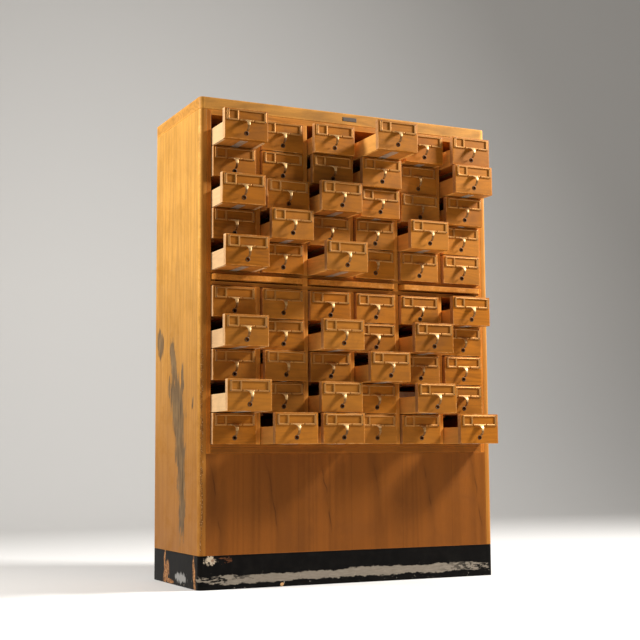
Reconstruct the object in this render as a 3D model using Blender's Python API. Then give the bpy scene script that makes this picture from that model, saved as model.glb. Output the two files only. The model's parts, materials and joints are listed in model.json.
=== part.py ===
"""Card catalog cabinet.

Sixty card drawers in two banks of five rows, three pull-out reference shelves
between the banks, a veneered base below them and a black plinth.

The front faces -Y, +Z is up, and the origin lies on the floor under the middle
of the case. The sizes are driven by one drawer cell: the case grows outwards
and upwards from the cells, the boards between them and the boards round them.
"""

import bpy
import bmesh
from math import cos, radians, sin

MM = 0.001

# Counts
columns = 6
rows = 5
columns_per_shelf = 2
corner_steps = 4
hole_sides = 10
tongue_steps = 6

# Clearances
joint_gap = 0.3 * MM
overrun = 10 * MM

# Drawer cells in a bank
cell_width = 145 * MM
row_pitch = 97 * MM
partition_thickness = 18.4 * MM
end_board_thickness = 14 * MM
bank_headroom = 1.2 * MM
runner_height = 9 * MM
runner_reach = 12 * MM
runner_setback = 6 * MM

# Boards that close the banks, from the bottom up
lower_floor_thickness = 27.5 * MM
lower_lid_thickness = 12 * MM
upper_floor_thickness = 8.6 * MM
upper_lid_thickness = 17 * MM

# Case
case_depth = 415 * MM
side_thickness = 22.5 * MM
top_thickness = 38 * MM
top_edge_round = 2 * MM
corner_radius = 14 * MM
back_thickness = 8 * MM
base_panel_height = 303.5 * MM
base_panel_thickness = 18 * MM
bottom_board_thickness = 18 * MM

# Plinth
plinth_height = 101 * MM
plinth_wall = 20 * MM
plinth_cross_width = 60 * MM

# Drawer front
front_side_clearance = 1.5 * MM
front_row_clearance = 2.5 * MM
front_thickness = 19 * MM
front_proud = 16 * MM
front_chamfer = 1.5 * MM
rod_hole_radius = 5.5 * MM
rod_hole_height = 19.5 * MM

# Drawer tray
tray_step = 0.6 * MM
tray_height = 53 * MM
tray_wall = 9.5 * MM
tray_floor = 6 * MM
tray_housing = 6 * MM
tray_back_clearance = 2 * MM
drawer_travel = 320 * MM

# Label holder with its finger pull
holder_side_inset = 6 * MM
holder_height = 34 * MM
holder_top_inset = 4 * MM
holder_thickness = 2.5 * MM
holder_top_bar = 4 * MM
holder_bottom_bar = 6 * MM
holder_left_bar = 8 * MM
holder_middle_bar = 7 * MM
holder_right_bar = 9 * MM
small_window_width = 24 * MM
holder_sink = 0.5 * MM
tongue_base_width = 34 * MM
tongue_tip_width = 6 * MM
tongue_thickness = 2.2 * MM
tongue_reach = 19 * MM
tongue_drop_radius = 17 * MM
tongue_sweep = radians(165)
tongue_taper_power = 4.5

# Card follower in one drawer
follower_side_clearance = 1.9 * MM
follower_height = 73 * MM
follower_plate = 2.5 * MM
follower_foot_length = 42 * MM
follower_lean_shares = 0.13
follower_place_shares = 0.52
follower_drawer = (9, 5)

# Reference shelves
shelf_thickness = 17 * MM
shelf_corner_radius = 15 * MM
shelf_gap_height = 24.5 * MM
shelf_side_clearance = 1 * MM
shelf_rear_clearance = 42.7 * MM
shelf_travel = 260 * MM
shelf_pulled_share = 0.015
shelf_groove_depth = 6 * MM
shelf_groove_width = 90 * MM
shelf_groove_length = 12 * MM
shelf_skid_height = 3.5 * MM
shelf_skid_width = 12 * MM
shelf_skid_inset = 2 * MM
shelf_skid_setback = 24 * MM

# How far each drawer stands out at rest, as shares of the drawer's travel,
# one line for each row from the top and one value for each column from the left
pulled_shares = (
    (0.300, 0.000, 0.125, 0.503, 0.140, 0.225),
    (0.000, 0.000, 0.078, 0.166, 0.000, 0.270),
    (0.240, 0.134, 0.281, 0.120, 0.034, 0.078),
    (0.000, 0.234, 0.000, 0.000, 0.225, 0.000),
    (0.328, 0.000, 0.384, 0.000, 0.000, 0.000),
    (0.000, 0.000, 0.000, 0.000, 0.000, 0.175),
    (0.309, 0.000, 0.294, 0.000, 0.281, 0.000),
    (0.000, 0.060, 0.000, 0.297, 0.000, 0.000),
    (0.378, 0.000, 0.244, 0.000, 0.319, 0.000),
    (0.000, 0.300, 0.281, 0.000, 0.000, 0.284),
)

# Shut drawers in these rows are one body with the bank that carries them
seated_rows = (2, 4, 8, 10)
seat_depth = 0.2 * MM

# Widths that follow
column_pitch = cell_width + partition_thickness
bank_width = columns * cell_width + (columns - 1) * partition_thickness + 2 * end_board_thickness
case_width = bank_width + 2 * (joint_gap + side_thickness)
inner_half = bank_width / 2
case_half = case_width / 2
shelf_gap_width = columns_per_shelf * cell_width + (columns_per_shelf - 1) * partition_thickness
shelf_width = shelf_gap_width - 2 * shelf_side_clearance
front_width = cell_width - 2 * front_side_clearance
holder_width = front_width - 2 * holder_side_inset
tray_half = front_width / 2 - tray_step
follower_width = 2 * (tray_half - tray_wall - follower_side_clearance)

# Depths that follow
face_y = -case_depth / 2
rear_y = case_depth / 2
back_face_y = rear_y - back_thickness
bank_rear_y = back_face_y - joint_gap
front_inset = front_thickness - front_proud
tray_length = bank_rear_y - face_y - front_inset - tray_back_clearance
shelf_length = bank_rear_y - face_y + front_proud - shelf_rear_clearance

# Heights that follow, from the floor up
case_bottom = plinth_height + joint_gap
panel_top = case_bottom + base_panel_height
lower_bottom = panel_top + joint_gap
lower_floor_top = lower_bottom + lower_floor_thickness
bank_clear_height = rows * row_pitch + bank_headroom
lower_lid_top = lower_floor_top + bank_clear_height + lower_lid_thickness
lower_top = lower_lid_top + shelf_gap_height
upper_bottom = lower_top + joint_gap
upper_floor_top = upper_bottom + upper_floor_thickness
upper_top = upper_floor_top + bank_clear_height + upper_lid_thickness
top_bottom = upper_top + joint_gap
case_height = top_bottom + top_thickness
front_height = row_pitch - front_row_clearance


def clear_scene():
    """Remove every object that the scene holds."""
    for obj in list(bpy.data.objects):
        bpy.data.objects.remove(obj, do_unlink=True)


def new_collection(name):
    """Make a collection under the scene's own."""
    collection = bpy.data.collections.new(name)
    bpy.context.scene.collection.children.link(collection)
    return collection


def finish(name, colour, roughness, metallic=0.0):
    """Make a Principled material of one plain finish."""
    material = bpy.data.materials.new(name)
    material.use_nodes = True
    shader = material.node_tree.nodes["Principled BSDF"]
    shader.inputs["Base Color"].default_value = (*colour, 1.0)
    shader.inputs["Roughness"].default_value = roughness
    shader.inputs["Metallic"].default_value = metallic
    material.diffuse_color = (*colour, 1.0)
    return material


clear_scene()
cabinet = new_collection("card_catalog_cabinet")
cutters = new_collection("cutters")
case_wood = finish("case_wood", (0.58, 0.31, 0.10), 0.42)
drawer_wood = finish("drawer_wood", (0.50, 0.27, 0.11), 0.45)
panel_veneer = finish("panel_veneer", (0.45, 0.21, 0.08), 0.40)
inner_wood = finish("inner_wood", (0.42, 0.24, 0.11), 0.60)
plinth_paint = finish("plinth_paint", (0.02, 0.02, 0.02), 0.55)
holder_brass = finish("holder_brass", (0.60, 0.38, 0.17), 0.40, 1.0)
follower_metal = finish("follower_metal", (0.62, 0.60, 0.56), 0.45, 1.0)


def mesh_object(name, bm, material, collection=cabinet):
    """Turn a bmesh into an object of the named collection."""
    mesh = bpy.data.meshes.new(name)
    bm.to_mesh(mesh)
    bm.free()
    obj = bpy.data.objects.new(name, mesh)
    collection.objects.link(obj)
    if material is not None:
        mesh.materials.append(material)
    return obj


def add_box(bm, low, high):
    """Add a box between two corners to a bmesh and return its vertices."""
    verts = bmesh.ops.create_cube(bm, size=1.0)["verts"]
    for vert in verts:
        vert.co = [b if place > 0 else a for a, b, place in zip(low, high, vert.co)]
    return verts


def box(name, low, high, material, collection=cabinet):
    """Make a box between two corners."""
    bm = bmesh.new()
    add_box(bm, low, high)
    return mesh_object(name, bm, material, collection)


def cutter(name, bm):
    """Make a cutter that shows as wires and never renders."""
    obj = mesh_object(name, bm, None, cutters)
    obj.hide_render = True
    obj.display_type = 'WIRE'
    return obj


def boolean(obj, other, operation):
    """Give an object an exact Boolean with another object."""
    modifier = obj.modifiers.new(operation.lower(), 'BOOLEAN')
    modifier.operation = operation
    modifier.solver = 'EXACT'
    modifier.object = other
    return modifier


def baked_mesh(obj, name):
    """Give the mesh that an object's modifiers make."""
    graph = bpy.context.evaluated_depsgraph_get()
    mesh = bpy.data.meshes.new_from_object(obj.evaluated_get(graph))
    mesh.name = name
    return mesh


def round_edges(obj, picks, radius, steps):
    """Round the edges that a test picks by their two ends."""
    bm = bmesh.new()
    bm.from_mesh(obj.data)
    edges = [edge for edge in bm.edges if picks(edge.verts[0].co, edge.verts[1].co)]
    bmesh.ops.bevel(bm, geom=edges, offset=radius, segments=steps, profile=0.5, affect='EDGES')
    bm.to_mesh(obj.data)
    bm.free()


def at_front(a, b, y):
    """Tell whether both ends of an edge lie on the plane at y."""
    return abs(a.y - y) < joint_gap and abs(b.y - y) < joint_gap


def upright(a, b):
    """Tell whether an edge runs straight up."""
    return abs(a.x - b.x) < joint_gap and abs(a.y - b.y) < joint_gap


def column_x(column):
    """Middle of a column of drawers, counted from 1 at the left."""
    return (column - (columns + 1) / 2) * column_pitch


def row_z(row):
    """Underside of the drawers in a row, counted from 1 at the top."""
    if row <= rows:
        return upper_floor_top + joint_gap + (rows - row) * row_pitch
    return lower_floor_top + joint_gap + (2 * rows - row) * row_pitch


# Case


def case_side(name, sign):
    """One side board, its outer front edge rounded from plinth to top."""
    inner = sign * (inner_half + joint_gap)
    outer = sign * case_half
    side = box(name, (min(inner, outer), face_y, case_bottom),
               (max(inner, outer), rear_y, upper_top), case_wood)
    round_edges(side, lambda a, b: upright(a, b) and at_front(a, b, face_y)
                and abs(a.x - outer) < joint_gap, corner_radius, corner_steps)
    return side


def rounded_slab(name, bottom, top, material):
    """A board as wide and deep as the case with its two front corners rounded."""
    slab = box(name, (-case_half, face_y, bottom), (case_half, rear_y, top), material)
    round_edges(slab, lambda a, b: upright(a, b) and at_front(a, b, face_y), corner_radius, corner_steps)
    return slab


def top_board():
    """The thick top, which lies over the sides and the upper bank."""
    top = rounded_slab("top_board", top_bottom, case_height, case_wood)
    edge_band = corner_radius + joint_gap
    round_edges(top, lambda a, b: min(a.z, b.z) > case_height - joint_gap
                and (max(a.y, b.y) < face_y + edge_band or abs(a.x - b.x) < joint_gap),
                top_edge_round, 1)
    return top


def plinth():
    """A hollow base of boards with one cross member under the middle."""
    base = rounded_slab("plinth", 0, plinth_height, plinth_paint)
    bm = bmesh.new()
    for sign in (-1, 1):
        near = sign * plinth_cross_width / 2
        far = sign * (case_half - plinth_wall)
        add_box(bm, (min(near, far), face_y + plinth_wall, -overrun),
                (max(near, far), rear_y - plinth_wall, plinth_height + overrun))
    boolean(base, cutter("plinth_hollows", bm), 'DIFFERENCE')
    return base


def base_boards():
    """The veneered panel under the drawers and the board behind its foot."""
    box("base_front_panel", (-inner_half, face_y, case_bottom),
        (inner_half, face_y + base_panel_thickness, panel_top), panel_veneer)
    box("bottom_board", (-inner_half, face_y + base_panel_thickness + joint_gap, case_bottom),
        (inner_half, bank_rear_y, case_bottom + bottom_board_thickness), inner_wood)


def back_panel():
    """The back, let in between the two sides."""
    return box("back_panel", (-inner_half, back_face_y, case_bottom),
               (inner_half, rear_y, upper_top), inner_wood)


# Drawer banks


def column_outline(x, floor_top):
    """Outline of a column of cells about x, stepped in at each pair of runners."""
    half = cell_width / 2
    inner = half - runner_reach
    right = [(half, floor_top)]
    for level in range(1, rows):
        shelf = floor_top + level * row_pitch
        right += [(half, shelf - runner_height), (inner, shelf - runner_height),
                  (inner, shelf), (half, shelf)]
    right.append((half, floor_top + bank_clear_height))
    left = [(-out, z) for out, z in reversed(right)]
    return [(x + out, z) for out, z in right + left]


def add_prism(bm, outline, near_y, far_y):
    """Add an upright outline pushed along Y, closed at both ends."""
    near = [bm.verts.new((x, near_y, z)) for x, z in outline]
    far = [bm.verts.new((x, far_y, z)) for x, z in outline]
    bm.faces.new(near)
    bm.faces.new(far[::-1])
    for i in range(len(outline)):
        bm.faces.new((near[i], near[i - 1], far[i - 1], far[i]))


def bank(name, bottom, floor_top, top):
    """A carcass of boards whose columns are cut clear between the runners."""
    body = box(name, (-inner_half, face_y, bottom), (inner_half, bank_rear_y, top), inner_wood)
    half = cell_width / 2
    runner_y = face_y + runner_setback
    stepped = bmesh.new()
    mouths = bmesh.new()
    for column in range(1, columns + 1):
        x = column_x(column)
        add_prism(stepped, column_outline(x, floor_top), runner_y - joint_gap, bank_rear_y + overrun)
        add_box(mouths, (x - half, face_y - overrun, floor_top),
                (x + half, runner_y, floor_top + bank_clear_height))
    bmesh.ops.recalc_face_normals(stepped, faces=stepped.faces)
    boolean(body, cutter(name + "_columns", stepped), 'DIFFERENCE')
    boolean(body, cutter(name + "_mouths", mouths), 'DIFFERENCE')
    return body


def shelf_x(place):
    """Middle of a reference shelf, counted from 1 at the left."""
    count = columns // columns_per_shelf
    return (place - (count + 1) / 2) * columns_per_shelf * column_pitch


def cut_shelf_gaps(body):
    """Open the gaps in which the reference shelves slide."""
    bm = bmesh.new()
    half = shelf_gap_width / 2
    for place in range(1, columns // columns_per_shelf + 1):
        add_box(bm, (shelf_x(place) - half, face_y - overrun, lower_lid_top),
                (shelf_x(place) + half, bank_rear_y + overrun, lower_top + overrun))
    boolean(body, cutter("shelf_gaps", bm), 'DIFFERENCE')


# Drawer


def add_loft(bm, sections):
    """Skin four-cornered sections in order and close both ends."""
    rings = [[bm.verts.new(point) for point in section] for section in sections]
    for near, far in zip(rings, rings[1:]):
        for i in range(4):
            bm.faces.new((near[i], near[i - 1], far[i - 1], far[i]))
    bm.faces.new(rings[0])
    bm.faces.new(rings[-1][::-1])


def tongue_sections(root_y, root_z):
    """Sections of the finger pull along nearly half an ellipse.

    At the angle t the middle of the strip stands out by reach * sin(t) and
    hangs down by drop_radius * (1 - cos(t)). The strip narrows from the base
    to the tip by a power of the share of the sweep that is left.
    """
    sections = []
    for step in range(tongue_steps + 1):
        share = step / tongue_steps
        angle = share * tongue_sweep
        out_y = tongue_reach * sin(angle)
        down_z = tongue_drop_radius * (1 - cos(angle))
        slope_y = tongue_reach * cos(angle)
        slope_z = tongue_drop_radius * sin(angle)
        length = (slope_y ** 2 + slope_z ** 2) ** 0.5
        normal_y = slope_z / length * tongue_thickness / 2
        normal_z = slope_y / length * tongue_thickness / 2
        half = (tongue_tip_width + (tongue_base_width - tongue_tip_width)
                * (1 - share) ** tongue_taper_power) / 2
        y = root_y - out_y
        z = root_z - down_z
        sections.append([(-half, y - normal_y, z + normal_z), (half, y - normal_y, z + normal_z),
                         (half, y + normal_y, z - normal_z), (-half, y + normal_y, z - normal_z)])
    return sections


def label_holder():
    """A two-window label frame whose lower bar carries the finger pull.

    Its back lies on the plane of the front's face.
    """
    top = front_height - holder_top_inset
    bottom = top - holder_height
    left = -holder_width / 2
    holder = box("holder_pattern", (left, -holder_thickness, bottom), (-left, 0, top), holder_brass, cutters)
    windows = bmesh.new()
    small_left = left + holder_left_bar
    small_right = small_left + small_window_width
    spans = ((small_left, small_right), (small_right + holder_middle_bar, -left - holder_right_bar))
    for low_x, high_x in spans:
        add_box(windows, (low_x, -holder_thickness - overrun, bottom + holder_bottom_bar),
                (high_x, overrun, top - holder_top_bar))
    boolean(holder, cutter("holder_windows", windows), 'DIFFERENCE')
    tongue = bmesh.new()
    add_loft(tongue, tongue_sections(-holder_thickness / 2, bottom + holder_bottom_bar / 2))
    bmesh.ops.recalc_face_normals(tongue, faces=tongue.faces)
    boolean(holder, cutter("holder_tongue", tongue), 'UNION')
    return holder


def drawer_shell(name, collection):
    """A drawer without its label holder: front board and open tray in one."""
    half = front_width / 2
    shell = box(name, (-half, 0, 0), (half, front_thickness, front_height), drawer_wood, collection)
    round_edges(shell, lambda a, b: at_front(a, b, 0), front_chamfer, 1)
    tray_end = front_thickness + tray_length
    tray = bmesh.new()
    add_box(tray, (-tray_half, front_thickness - tray_housing, 0), (tray_half, tray_end, tray_height))
    boolean(shell, cutter(name + "_tray", tray), 'UNION')
    hollow = bmesh.new()
    inner = tray_half - tray_wall
    add_box(hollow, (-inner, front_thickness, tray_floor),
            (inner, tray_end - tray_wall, tray_height + overrun))
    boolean(shell, cutter(name + "_hollow", hollow), 'DIFFERENCE')
    hole = bmesh.new()
    verts = bmesh.ops.create_cone(hole, cap_ends=True, segments=hole_sides, radius1=rod_hole_radius,
                                  radius2=rod_hole_radius, depth=front_thickness + 2 * overrun)["verts"]
    for vert in verts:
        x, y, z = vert.co
        vert.co = (x, front_thickness / 2 - z, rod_hole_height + y)
    boolean(shell, cutter(name + "_rod_hole", hole), 'DIFFERENCE')
    return shell


def drawer_meshes():
    """Make the meshes of a drawer, a bare drawer and its label holder once."""
    shell = drawer_shell("drawer_pattern", cutters)
    holder = label_holder()
    shell_mesh = baked_mesh(shell, "drawer_shell")
    holder_mesh = baked_mesh(holder, "label_holder")
    holder.location.y = holder_sink
    boolean(shell, holder, 'UNION')
    whole_mesh = baked_mesh(shell, "drawer")
    for pattern in (shell, holder):
        bpy.data.objects.remove(pattern, do_unlink=True)
    return whole_mesh, shell_mesh, holder_mesh


def pulled(row, column):
    """How far a drawer stands out of its shut place at rest."""
    return pulled_shares[row - 1][column - 1] * drawer_travel


def drawer_place(row, column):
    """Bottom middle of a drawer's front face at rest."""
    return (column_x(column), face_y - front_proud - pulled(row, column), row_z(row))


def is_seated(row, column):
    """Tell whether a drawer is one body with its bank."""
    return row in seated_rows and pulled(row, column) == 0


def seat_drawers(body, bank_rows, mesh):
    """Join the shut drawers of some rows with the bank, down on their runners."""
    bm = bmesh.new()
    for row in bank_rows:
        for column in range(1, columns + 1):
            if not is_seated(row, column):
                continue
            x, y, z = drawer_place(row, column)
            start = len(bm.verts)
            bm.from_mesh(mesh)
            bm.verts.ensure_lookup_table()
            bmesh.ops.translate(bm, vec=(x, y, z - joint_gap - seat_depth), verts=bm.verts[start:])
    boolean(body, cutter(body.name + "_seated_drawers", bm), 'UNION')


def card_follower(drawer):
    """A bent plate that stands behind the cards and slides along the tray."""
    half = follower_width / 2
    lean = follower_lean_shares * follower_height
    back = front_thickness + follower_place_shares * tray_length
    seat = tray_floor + joint_gap
    bm = bmesh.new()
    outline = [(0, 0), (follower_foot_length, 0), (follower_foot_length, follower_plate),
               (follower_plate, follower_plate), (lean + follower_plate, follower_height),
               (lean, follower_height)]
    add_prism(bm, outline, -half, half)
    bmesh.ops.recalc_face_normals(bm, faces=bm.faces)
    for vert in bm.verts:
        x, y, z = vert.co
        vert.co = (-y, x, z)
    follower = mesh_object("card_follower", bm, follower_metal)
    follower.parent = drawer
    follower.location = (0, back, seat)
    return follower


def shelf_mesh():
    """Make the mesh of a shelf once: rounded front corners, a finger groove and two skids."""
    half = shelf_width / 2
    under = shelf_skid_height
    shelf = box("shelf_pattern", (-half, 0, under), (half, shelf_length, under + shelf_thickness),
                case_wood, cutters)
    round_edges(shelf, lambda a, b: upright(a, b) and at_front(a, b, 0), shelf_corner_radius, corner_steps)
    groove = bmesh.new()
    add_box(groove, (-shelf_groove_width / 2, front_proud / 2, under - overrun),
            (shelf_groove_width / 2, front_proud / 2 + shelf_groove_length, under + shelf_groove_depth))
    boolean(shelf, cutter("shelf_groove", groove), 'DIFFERENCE')
    skids = bmesh.new()
    for sign in (-1, 1):
        sides = sorted(sign * (half - shelf_skid_inset - reach) for reach in (0, shelf_skid_width))
        add_box(skids, (sides[0], shelf_skid_setback, 0),
                (sides[1], shelf_length - shelf_skid_inset, under + shelf_thickness / 2))
    boolean(shelf, cutter("shelf_skids", skids), 'UNION')
    mesh = baked_mesh(shelf, "reference_shelf")
    bpy.data.objects.remove(shelf, do_unlink=True)
    return mesh


def reference_shelf(place, mesh):
    """One pull-out shelf between the banks."""
    shelf = bpy.data.objects.new("reference_shelf_%d" % place, mesh)
    cabinet.objects.link(shelf)
    shelf.location = (shelf_x(place), face_y - front_proud - shelf_pulled_share * shelf_travel,
                      lower_lid_top + joint_gap)
    return shelf


def drawer(row, column, mesh):
    """One sliding drawer, its origin at the bottom middle of the front's face."""
    obj = bpy.data.objects.new("drawer_row%02d_col%d" % (row, column), mesh)
    cabinet.objects.link(obj)
    obj.location = drawer_place(row, column)
    return obj


def build():
    """Make every piece of the cabinet."""
    case_side("left_side", -1)
    case_side("right_side", 1)
    top_board()
    plinth()
    base_boards()
    back_panel()
    whole_mesh, shell_mesh, holder_mesh = drawer_meshes()
    lower = bank("lower_bank", lower_bottom, lower_floor_top, lower_top)
    cut_shelf_gaps(lower)
    upper = bank("upper_bank", upper_bottom, upper_floor_top, upper_top)
    seat_drawers(upper, range(1, rows + 1), whole_mesh)
    seat_drawers(lower, range(rows + 1, 2 * rows + 1), whole_mesh)
    shelf = shelf_mesh()
    for place in range(1, columns // columns_per_shelf + 1):
        reference_shelf(place, shelf)
    for row in range(1, 2 * rows + 1):
        for column in range(1, columns + 1):
            if (row, column) == follower_drawer:
                carrier = drawer(row, column, shell_mesh)
                card_follower(carrier)
                holder = bpy.data.objects.new("label_holder", holder_mesh)
                cabinet.objects.link(holder)
                holder.parent = carrier
                holder.location.y = -joint_gap
            elif not is_seated(row, column):
                drawer(row, column, whole_mesh)


build()
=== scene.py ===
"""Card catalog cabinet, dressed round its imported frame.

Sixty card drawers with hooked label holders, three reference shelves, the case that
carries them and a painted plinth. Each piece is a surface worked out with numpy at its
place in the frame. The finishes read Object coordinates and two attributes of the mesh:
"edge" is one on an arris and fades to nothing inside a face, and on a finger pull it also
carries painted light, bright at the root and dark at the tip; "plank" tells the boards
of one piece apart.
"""

import json
import math

import bpy
import numpy as np
from bpy.props import FloatProperty, FloatVectorProperty, PointerProperty
from bpy.types import Operator, Panel, PropertyGroup
from mathutils import Euler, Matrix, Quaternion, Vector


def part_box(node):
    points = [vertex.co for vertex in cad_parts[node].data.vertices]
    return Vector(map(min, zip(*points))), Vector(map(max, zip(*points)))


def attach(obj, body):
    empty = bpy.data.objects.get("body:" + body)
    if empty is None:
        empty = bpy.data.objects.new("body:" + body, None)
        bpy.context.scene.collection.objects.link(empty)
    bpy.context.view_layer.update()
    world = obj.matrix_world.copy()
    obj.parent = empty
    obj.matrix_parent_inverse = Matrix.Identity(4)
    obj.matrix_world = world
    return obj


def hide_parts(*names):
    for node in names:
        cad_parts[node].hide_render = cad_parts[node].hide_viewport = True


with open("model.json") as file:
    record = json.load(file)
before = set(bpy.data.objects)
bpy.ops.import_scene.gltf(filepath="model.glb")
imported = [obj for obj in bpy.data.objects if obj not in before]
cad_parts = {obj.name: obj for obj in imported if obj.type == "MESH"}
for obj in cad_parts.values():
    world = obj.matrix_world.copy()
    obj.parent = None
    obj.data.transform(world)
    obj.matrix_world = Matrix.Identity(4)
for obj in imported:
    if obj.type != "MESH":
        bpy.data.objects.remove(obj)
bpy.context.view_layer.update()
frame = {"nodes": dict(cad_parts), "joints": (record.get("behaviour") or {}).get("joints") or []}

bl_info = {
    "name": "Card Catalog Cabinet",
    "version": (1, 0, 0),
    "blender": (4, 5, 0),
    "location": "View3D > Sidebar > Catalog",
    "description": "Builds a card catalog cabinet round its packed frame",
    "category": "Add Mesh",
}

MM = 0.001
smooth_angle, small_fade = math.radians(38), 1 * MM

# The case, read from the frame
side_low, side_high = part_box("left_side")
top_low, top_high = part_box("top_board")
plinth_low, plinth_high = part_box("plinth")
panel_low, panel_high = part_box("base_front_panel")
lower_low, lower_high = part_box("lower_bank")
upper_low, upper_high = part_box("upper_bank")
face_y, case_half, bank_half = side_low.y, -side_low.x, lower_high.x
bank_rear = side_high.y - 8.3 * MM
corner_radius, corner_steps = 14 * MM, 8
side_round, side_fade, top_round, top_fade = 1 * MM, 3 * MM, 2 * MM, 8 * MM

# The nameplate and the plinth
plate_half, plate_thick, plate_sunk = (25 * MM, 6.5 * MM), 1 * MM, 0.2 * MM
plate_round, plate_fade, plate_height, plate_pin_x = 0.4 * MM, 2 * MM, 1486.5 * MM, 21.5 * MM
pin_head = ((0.2 * MM, -0.7 * MM), (0.9 * MM, -0.5 * MM), (1.1 * MM, 0.0))
plinth_wall, plinth_round, plinth_edge = 20 * MM, 1.2 * MM, 1.5 * MM
plinth_fade, plinth_rise, cross_half, cross_sunk = 12 * MM, 8 * MM, 30 * MM, 1 * MM

# The cells
columns, rows = 6, 5
cell_width, row_pitch, rack_play = 145 * MM, 97 * MM, 1.2 * MM
partition, end_board = 18.4 * MM, 14 * MM
runner_height, runner_reach, runner_setback = 9 * MM, 12 * MM, 6 * MM
lower_floor, lower_lid = 27.5 * MM, 12 * MM
upper_floor, upper_lid = 8.6 * MM, 17 * MM
rail_groove, rail_groove_half = 19 * MM, 0.3 * MM

# The shelves
shelf_corner, shelf_round, shelves = 15 * MM, 1.2 * MM, (1, 2, 3)
skid_height, skid_width, skid_inset, skid_setback = 3.5 * MM, 12 * MM, 2 * MM, 24 * MM
skid_round, skid_sunk = 0.5 * MM, 1 * MM
grip_half, grip_ramp, grip_deep, grip_reach = 47 * MM, 6 * MM, 5.5 * MM, 25 * MM
grip_ys = (20.5 * MM, 18.5 * MM, 10.5 * MM, 8.5 * MM)

# The drawers
front_width, front_height, front_thickness, front_proud = 142 * MM, 94.5 * MM, 19 * MM, 16 * MM
hole_radius, hole_height = 5.5 * MM, 19.5 * MM
tray_half, tray_height, tray_wall, tray_floor = 70.4 * MM, 53 * MM, 9.5 * MM, 6 * MM
tray_end, tray_sunk, tray_back_low, tray_floor_rise = 420.7 * MM, 0.1 * MM, 1 * MM, 0.4 * MM
wall_fade, board_fade = 4 * MM, 3 * MM
strip_start, strip_stop, strip_half_thick, strip_round = 2 * MM, 14 * MM, 0.5 * MM, 0.3 * MM

# The label holders, from the underside of a front
holder_half = 65 * MM
holder_low, holder_high = 56.5 * MM, 90.5 * MM
window_low, window_high = 62.5 * MM, 86.5 * MM
windows_x = ((-57 * MM, -33 * MM), (-26 * MM, 56 * MM))
slit_x, slit_width = 24.5 * MM, 2 * MM
holder_thickness, holder_round, holder_sunk = 3 * MM, 1.75 * MM, 0.8 * MM
screw_x, screw_heights = 61.6 * MM, (59.2 * MM, 88.2 * MM)
screw_head = ((0.1 * MM, -0.8 * MM), (1.2 * MM, -0.6 * MM), (1.8 * MM, 0.3 * MM))
tongue_base, tongue_tip, tongue_thickness = 34 * MM, 7.5 * MM, 2.3 * MM
tongue_reach, tongue_drop, tongue_sweep = 18 * MM, 17 * MM, math.radians(165)
tongue_power = 4.5
eyelet_half, eyelet_deep = 7.6 * MM, 3 * MM

# The card follower
follower_drawer, follower_gap = (9, 5), 0.3 * MM
follower_thick, follower_foot, follower_bend, follower_lean = 2.5 * MM, 42 * MM, 5 * MM, 0.13
follower_round = 0.5 * MM

# The stage: the floor's line, then the lamps as name, place, aim, size and power
floor_reach, wall_start, wall_bend, wall_top = 9.0, 3.2, 1.6, 7.0
LAMPS = (("key_lamp", (-2.3, 0.2, 2.35), (-0.5, 0.0, 0.9), 0.5, 80.0),
         ("fill_lamp", (2.55, -1.25, 2.8), (0.1, -0.3, 0.9), 0.6, 270.0))
sky_colour, sky_strength = (1.0, 0.98, 0.95), 0.26
camera_place = (-1.85701, -3.83861, 0.39498)
camera_yaw, camera_pitch, camera_roll = math.radians(-25.67), math.radians(6.09), math.radians(-0.383)
camera_lens, camera_sensor, camera_clip = 71.875, 36.0, (0.05, 60.0)


def size_setting(name, description, default):
    """A size that the panel shows."""
    return FloatProperty(name=name, description=description, default=default, unit='LENGTH')


def colour_setting(name, description, default):
    """A colour that the panel shows."""
    return FloatVectorProperty(name=name, description=description, default=default, subtype='COLOR', min=0,
                               max=1)


class CATALOG_PG_sizes(PropertyGroup):
    """Small sizes of the finish, which the frame doesn't hold."""

    board_round: size_setting("Board edge", "Radius of a board's edges", 0.8 * MM)
    front_round: size_setting("Front edge", "Radius of a drawer front's edges", 1.5 * MM)
    wear_reach: size_setting("Wear reach", "How far the wear of an edge runs into a face", 7 * MM)
    strip_width: size_setting("Strip width", "Width of the metal strip under a tray", 25 * MM)


class CATALOG_PG_colours(PropertyGroup):
    """Colours of the finishes."""

    golden: colour_setting("Golden", "Varnished side boards", (0.57, 0.275, 0.052))
    amber: colour_setting("Amber", "Top board and rails", (0.46, 0.170, 0.024))
    umber: colour_setting("Umber", "Uprights of the banks", (0.385, 0.122, 0.013))
    brown: colour_setting("Brown", "Drawer fronts", (0.345, 0.108, 0.006))
    # Pale is the tray wood with painted light, for the left column's trays and the lit front flanks; honey is
    # the same wood with painted shade, for the trays of the other columns.
    pale: colour_setting("Pale", "Sides of the left column's trays", (0.70, 0.43, 0.21))
    honey: colour_setting("Honey", "Varnished trays of the other columns", (0.72, 0.315, 0.070))
    red: colour_setting("Red", "Veneer of the base panel", (0.225, 0.068, 0.008))
    dark: colour_setting("Dark", "Inside of the banks", (0.17, 0.062, 0.015))
    paint: colour_setting("Paint", "Black paint of the plinth", (0.0025, 0.002, 0.0016))
    brass: colour_setting("Brass", "Label holders", (0.42, 0.182, 0.036))
    rubbed: colour_setting("Rubbed brass", "Finger pulls, and edges of the holders", (0.72, 0.46, 0.19))
    floor: colour_setting("Floor", "Floor and backdrop", (0.72, 0.70, 0.67))


def props(group):
    """The sizes or the colours that the panel shows."""
    return getattr(bpy.context.scene, "catalog_" + group)


# ---- Places of the drawers


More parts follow.
